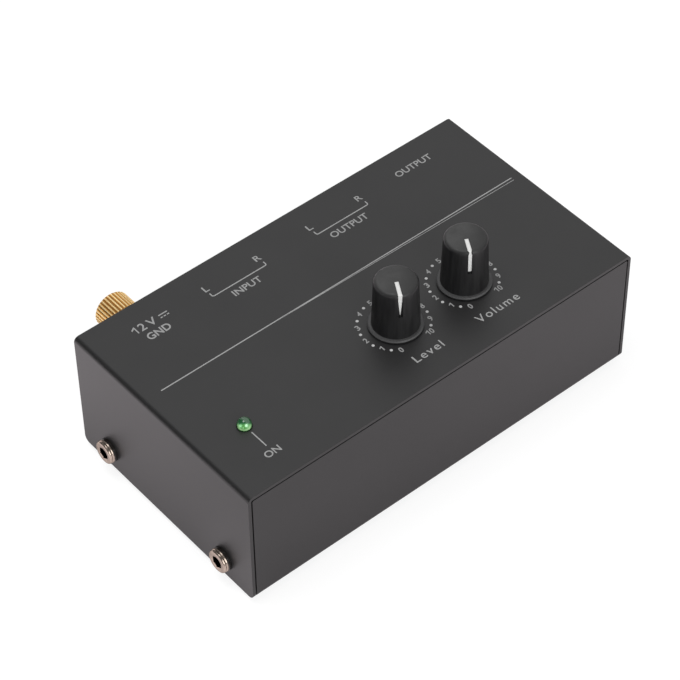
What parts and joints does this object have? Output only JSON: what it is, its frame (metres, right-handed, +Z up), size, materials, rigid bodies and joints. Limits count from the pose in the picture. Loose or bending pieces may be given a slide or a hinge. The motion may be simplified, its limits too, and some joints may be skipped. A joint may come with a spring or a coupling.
{
  "type": "phono preamp",
  "caption": "Flat black desktop preamp for a turntable, with level and volume knobs, a green lamp, phono sockets, a large jack, a power socket and a ground post.",
  "frame": {"origin": "under the middle of the whole part's box, on the surface that the feet stand on", "axes": "+X to the right along the front, +Y to the rear with the sockets, +Z up through the controls"},
  "size_m": [0.1408, 0.0864, 0.0604],
  "materials": {
    "case_paint": "satin black powder coat",
    "knob_plastic": "satin moulded",
    "screw_plate": "dark nickel plate",
    "zinc_steel": "zinc plate",
    "nickel": "nickel plate",
    "gold_brass": "gold flash on brass",
    "socket_plastic": "moulded",
    "white_plastic": "moulded",
    "red_plastic": "moulded",
    "lamp_green": "clear tinted lens",
    "board_green": "solder mask",
    "foot_rubber": "matt",
    "cable_grey": "flat cable",
    "header_cream": "moulded",
    "wire_green": "wire insulation",
    "can_sleeve": "shrink sleeve",
    "film_red": "dipped",
    "resistor_tan": "lacquer",
    "wiper_tan": "moulded"
  },
  "bodies": {
    "case": {"top_cover": "case_paint", "base_chassis": "case_paint", "threaded_inserts": "zinc_steel", "cover_screws": "screw_plate", "screw_washers": "screw_plate", "rubber_feet": "foot_rubber", "pcb_standoffs": "zinc_steel", "pcb_screws": "zinc_steel", "main_pcb": "board_green", "control_board": "board_green", "header_sockets": "header_cream", "ribbon_cable": "cable_grey", "power_socket": "socket_plastic", "power_pin": "zinc_steel", "power_contacts": "zinc_steel", "input_block": "socket_plastic", "input_sleeves": "nickel", "input_left_insert": "white_plastic", "input_right_insert": "red_plastic", "input_contacts": "gold_brass", "output_block": "socket_plastic", "output_sleeves": "nickel", "output_left_insert": "white_plastic", "output_right_insert": "red_plastic", "output_contacts": "gold_brass", "jack_body": "socket_plastic", "jack_bushing": "nickel", "jack_nut": "nickel", "jack_washer": "nickel", "jack_contacts": "zinc_steel", "post_stud": "gold_brass", "post_hex_nut": "gold_brass", "post_lock_washer": "gold_brass", "post_solder_lug": "zinc_steel", "post_wire": "wire_green", "level_pot_body": "board_green", "level_bushing": "zinc_steel", "level_nut": "zinc_steel", "level_washer": "zinc_steel", "level_terminals": "zinc_steel", "volume_pot_body": "board_green", "volume_bushing": "zinc_steel", "volume_nut": "zinc_steel", "volume_washer": "zinc_steel", "volume_terminals": "zinc_steel", "lamp_lens": "lamp_green", "lamp_leads": "zinc_steel", "lamp_spacer": "socket_plastic", "electrolytic_caps": "can_sleeve", "film_caps": "film_red", "resistors": "resistor_tan", "amplifier_chips": "socket_plastic"},
    "level_control": {"level_shaft": "zinc_steel", "level_wiper": "wiper_tan", "level_knob": "knob_plastic"},
    "volume_control": {"volume_shaft": "zinc_steel", "volume_wiper": "wiper_tan", "volume_knob": "knob_plastic"},
    "post_clamp": {"post_clamp_washer": "gold_brass"},
    "post_nut": {"post_thumb_nut": "gold_brass"}
  },
  "joints": [
    {"name": "level_turn", "type": "hinge", "parent": "case", "child": "level_control", "pos_m": [0.0012, -0.02085, 0.0432], "axis": [0, 0, -1], "range_deg": [0, 300]},
    {"name": "volume_turn", "type": "hinge", "parent": "case", "child": "volume_control", "pos_m": [0.0261, -0.02085, 0.0432], "axis": [0, 0, -1], "range_deg": [0, 300]},
    {"name": "post_clamp_slide", "type": "slide", "parent": "case", "child": "post_clamp", "axis": [0, 1, 0], "range_m": [0, 0.00355]},
    {"name": "post_nut_turn", "type": "hinge", "parent": "post_clamp", "child": "post_nut", "pos_m": [-0.048, 0.03555, 0.0328], "axis": [0, 1, 0], "range_deg": [0, 1800]}
  ],
  "couplings": [
    {"joint": "post_clamp_slide", "follows": "post_nut_turn", "m_per_rad": 0.00011141}
  ]
}
